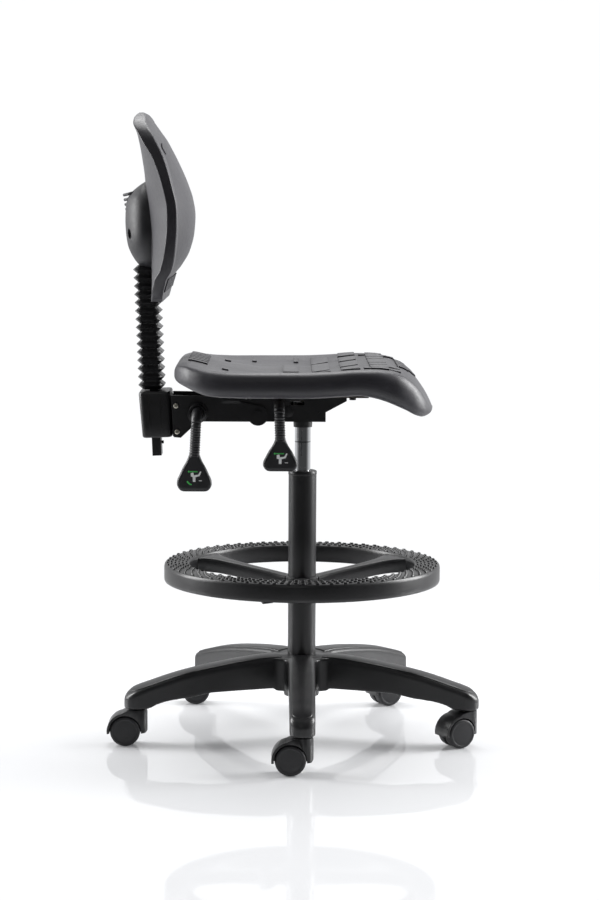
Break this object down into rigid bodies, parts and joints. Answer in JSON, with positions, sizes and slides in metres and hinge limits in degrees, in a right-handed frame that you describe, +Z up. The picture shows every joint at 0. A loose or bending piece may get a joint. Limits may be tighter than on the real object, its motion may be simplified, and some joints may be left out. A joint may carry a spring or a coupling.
{
  "type": "drafting chair",
  "caption": "Drafting chair with moulded polyurethane seat and back, two under-seat levers, tall gas lift, foot ring and a star base on twin-wheel castors.",
  "frame": {"origin": "on the floor, on the axis of the gas lift", "axes": "+X towards the front of the seat, +Y to the sitter's left, +Z up"},
  "size_m": [0.6561, 0.5976, 1.107],
  "materials": {
    "nylon": "fine moulded texture, satin black",
    "wheel_nylon": "smooth moulded black",
    "bush_plastic": "moulded acetal",
    "painted_steel": "black powder coat",
    "chrome": "bright chrome",
    "zinc_steel": "zinc plated",
    "polyurethane": "self-skinned polyurethane foam, fine grain",
    "plywood": "birch plywood stained black",
    "soft_rubber": "soft black elastomer",
    "grip_plastic": "soft-touch black"
  },
  "bodies": {
    "base": {"star_base": "nylon", "gas_tube": "painted_steel", "guide_bush": "bush_plastic", "thrust_bearing": "zinc_steel"},
    "lift_rod": {"piston_rod": "chrome", "retaining_clip": "zinc_steel"},
    "seat_unit": {"gas_cylinder": "chrome", "mechanism_housing": "painted_steel", "rake_pivot": "painted_steel", "seat_bolts": "painted_steel", "seat_insert": "plywood", "seat_pad": "polyurethane"},
    "valve_pin": {"release_pin": "zinc_steel"},
    "lift_lever": {"gas_lever": "zinc_steel", "gas_grip": "grip_plastic"},
    "back_unit": {"back_arm": "painted_steel", "lock_bolt": "painted_steel", "lever_boot": "soft_rubber", "rear_bracket": "painted_steel", "bracket_cover": "nylon", "bracket_screws": "zinc_steel", "ratchet_pawl": "zinc_steel", "bellows": "soft_rubber"},
    "rake_lock_lever": {"rake_lever": "zinc_steel", "rake_grip": "grip_plastic"},
    "backrest": {"upright_bar": "painted_steel", "stop_screw": "painted_steel", "back_carrier": "painted_steel", "dome_cover": "nylon", "dome_screws": "zinc_steel", "back_insert": "plywood", "back_screws": "zinc_steel", "back_pad": "polyurethane"},
    "footrest": {"foot_ring": "nylon"},
    "clamp_knob": {"ring_knob": "nylon"},
    "castor_1": {"stem_1": "zinc_steel", "castor_hood_1": "nylon", "axle_1": "zinc_steel"},
    "wheel_a_1": {"wheel_near_1": "wheel_nylon"},
    "wheel_b_1": {"wheel_far_1": "wheel_nylon"},
    "castor_2": {"stem_2": "zinc_steel", "castor_hood_2": "nylon", "axle_2": "zinc_steel"},
    "wheel_a_2": {"wheel_near_2": "wheel_nylon"},
    "wheel_b_2": {"wheel_far_2": "wheel_nylon"},
    "castor_3": {"stem_3": "zinc_steel", "castor_hood_3": "nylon", "axle_3": "zinc_steel"},
    "wheel_a_3": {"wheel_near_3": "wheel_nylon"},
    "wheel_b_3": {"wheel_far_3": "wheel_nylon"},
    "castor_4": {"stem_4": "zinc_steel", "castor_hood_4": "nylon", "axle_4": "zinc_steel"},
    "wheel_a_4": {"wheel_near_4": "wheel_nylon"},
    "wheel_b_4": {"wheel_far_4": "wheel_nylon"},
    "castor_5": {"stem_5": "zinc_steel", "castor_hood_5": "nylon", "axle_5": "zinc_steel"},
    "wheel_a_5": {"wheel_near_5": "wheel_nylon"},
    "wheel_b_5": {"wheel_far_5": "wheel_nylon"}
  },
  "joints": [
    {"name": "seat_swivel", "type": "hinge", "parent": "base", "child": "lift_rod", "pos_m": [0, 0, 0.08], "axis": [0, 0, 1], "continuous": true},
    {"name": "seat_lift", "type": "slide", "parent": "lift_rod", "child": "seat_unit", "axis": [0, 0, 1], "range_m": [-0.035, 0.225]},
    {"name": "back_rake", "type": "hinge", "parent": "seat_unit", "child": "back_unit", "pos_m": [-0.0795, 0, 0.58], "axis": [0, 1, 0], "range_deg": [-20, 3]},
    {"name": "back_height", "type": "slide", "parent": "back_unit", "child": "backrest", "axis": [-0.0433, 0, 0.9991], "range_m": [-0.055, 0.005], "deforming": ["bellows"]},
    {"name": "lift_lever_pull", "type": "hinge", "parent": "seat_unit", "child": "lift_lever", "pos_m": [-0.042, -0.0425, 0.606], "axis": [-1, 0, 0], "range_deg": [0, 3.8], "stiffness_Nm_per_rad": 4},
    {"name": "valve_press", "type": "slide", "parent": "seat_unit", "child": "valve_pin", "axis": [0, 0, -1], "range_m": [0, 0.0032]},
    {"name": "rake_lever_pull", "type": "hinge", "parent": "back_unit", "child": "rake_lock_lever", "pos_m": [-0.186, -0.0458, 0.585], "axis": [-1, 0, 0], "range_deg": [0, 10], "stiffness_Nm_per_rad": 4},
    {"name": "foot_ring_slide", "type": "slide", "parent": "base", "child": "footrest", "axis": [0, 0, 1], "range_m": [-0.08, 0.035]},
    {"name": "knob_turn", "type": "hinge", "parent": "footrest", "child": "clamp_knob", "pos_m": [-0.06928, -0.04, 0.262], "axis": [-0.866, -0.5, 0], "range_deg": [-360, 90]},
    {"name": "castor_1_swivel", "type": "hinge", "parent": "base", "child": "castor_1", "pos_m": [-0.29102, -0.09456, 0.06], "axis": [0, 0, 1], "continuous": true},
    {"name": "wheel_near_1_spin", "type": "hinge", "parent": "castor_1", "child": "wheel_a_1", "pos_m": [-0.31102, -0.09456, 0.0265], "axis": [0, -1, 0], "continuous": true},
    {"name": "wheel_far_1_spin", "type": "hinge", "parent": "castor_1", "child": "wheel_b_1", "pos_m": [-0.31102, -0.09456, 0.0265], "axis": [0, -1, 0], "continuous": true},
    {"name": "castor_2_swivel", "type": "hinge", "parent": "base", "child": "castor_2", "pos_m": [0, -0.306, 0.06], "axis": [0, 0, 1], "continuous": true},
    {"name": "wheel_near_2_spin", "type": "hinge", "parent": "castor_2", "child": "wheel_a_2", "pos_m": [-0.02, -0.306, 0.0265], "axis": [0, -1, 0], "continuous": true},
    {"name": "wheel_far_2_spin", "type": "hinge", "parent": "castor_2", "child": "wheel_b_2", "pos_m": [-0.02, -0.306, 0.0265], "axis": [0, -1, 0], "continuous": true},
    {"name": "castor_3_swivel", "type": "hinge", "parent": "base", "child": "castor_3", "pos_m": [0.29102, -0.09456, 0.06], "axis": [0, 0, 1], "continuous": true},
    {"name": "wheel_near_3_spin", "type": "hinge", "parent": "castor_3", "child": "wheel_a_3", "pos_m": [0.27353, -0.10426, 0.0265], "axis": [0.4848, -0.8746, 0], "continuous": true},
    {"name": "wheel_far_3_spin", "type": "hinge", "parent": "castor_3", "child": "wheel_b_3", "pos_m": [0.27353, -0.10426, 0.0265], "axis": [0.4848, -0.8746, 0], "continuous": true},
    {"name": "castor_4_swivel", "type": "hinge", "parent": "base", "child": "castor_4", "pos_m": [0.17986, 0.24756, 0.06], "axis": [0, 0, 1], "continuous": true},
    {"name": "wheel_near_4_spin", "type": "hinge", "parent": "castor_4", "child": "wheel_a_4", "pos_m": [0.16237, 0.23786, 0.0265], "axis": [0.4848, -0.8746, 0], "continuous": true},
    {"name": "wheel_far_4_spin", "type": "hinge", "parent": "castor_4", "child": "wheel_b_4", "pos_m": [0.16237, 0.23786, 0.0265], "axis": [0.4848, -0.8746, 0], "continuous": true},
    {"name": "castor_5_swivel", "type": "hinge", "parent": "base", "child": "castor_5", "pos_m": [-0.17986, 0.24756, 0.06], "axis": [0, 0, 1], "continuous": true},
    {"name": "wheel_near_5_spin", "type": "hinge", "parent": "castor_5", "child": "wheel_a_5", "pos_m": [-0.19984, 0.24651, 0.0265], "axis": [0.0523, -0.9986, 0], "continuous": true},
    {"name": "wheel_far_5_spin", "type": "hinge", "parent": "castor_5", "child": "wheel_b_5", "pos_m": [-0.19984, 0.24651, 0.0265], "axis": [0.0523, -0.9986, 0], "continuous": true}
  ],
  "couplings": [
    {"joint": "valve_press", "follows": "lift_lever_pull", "m_per_rad": 0.0475}
  ]
}
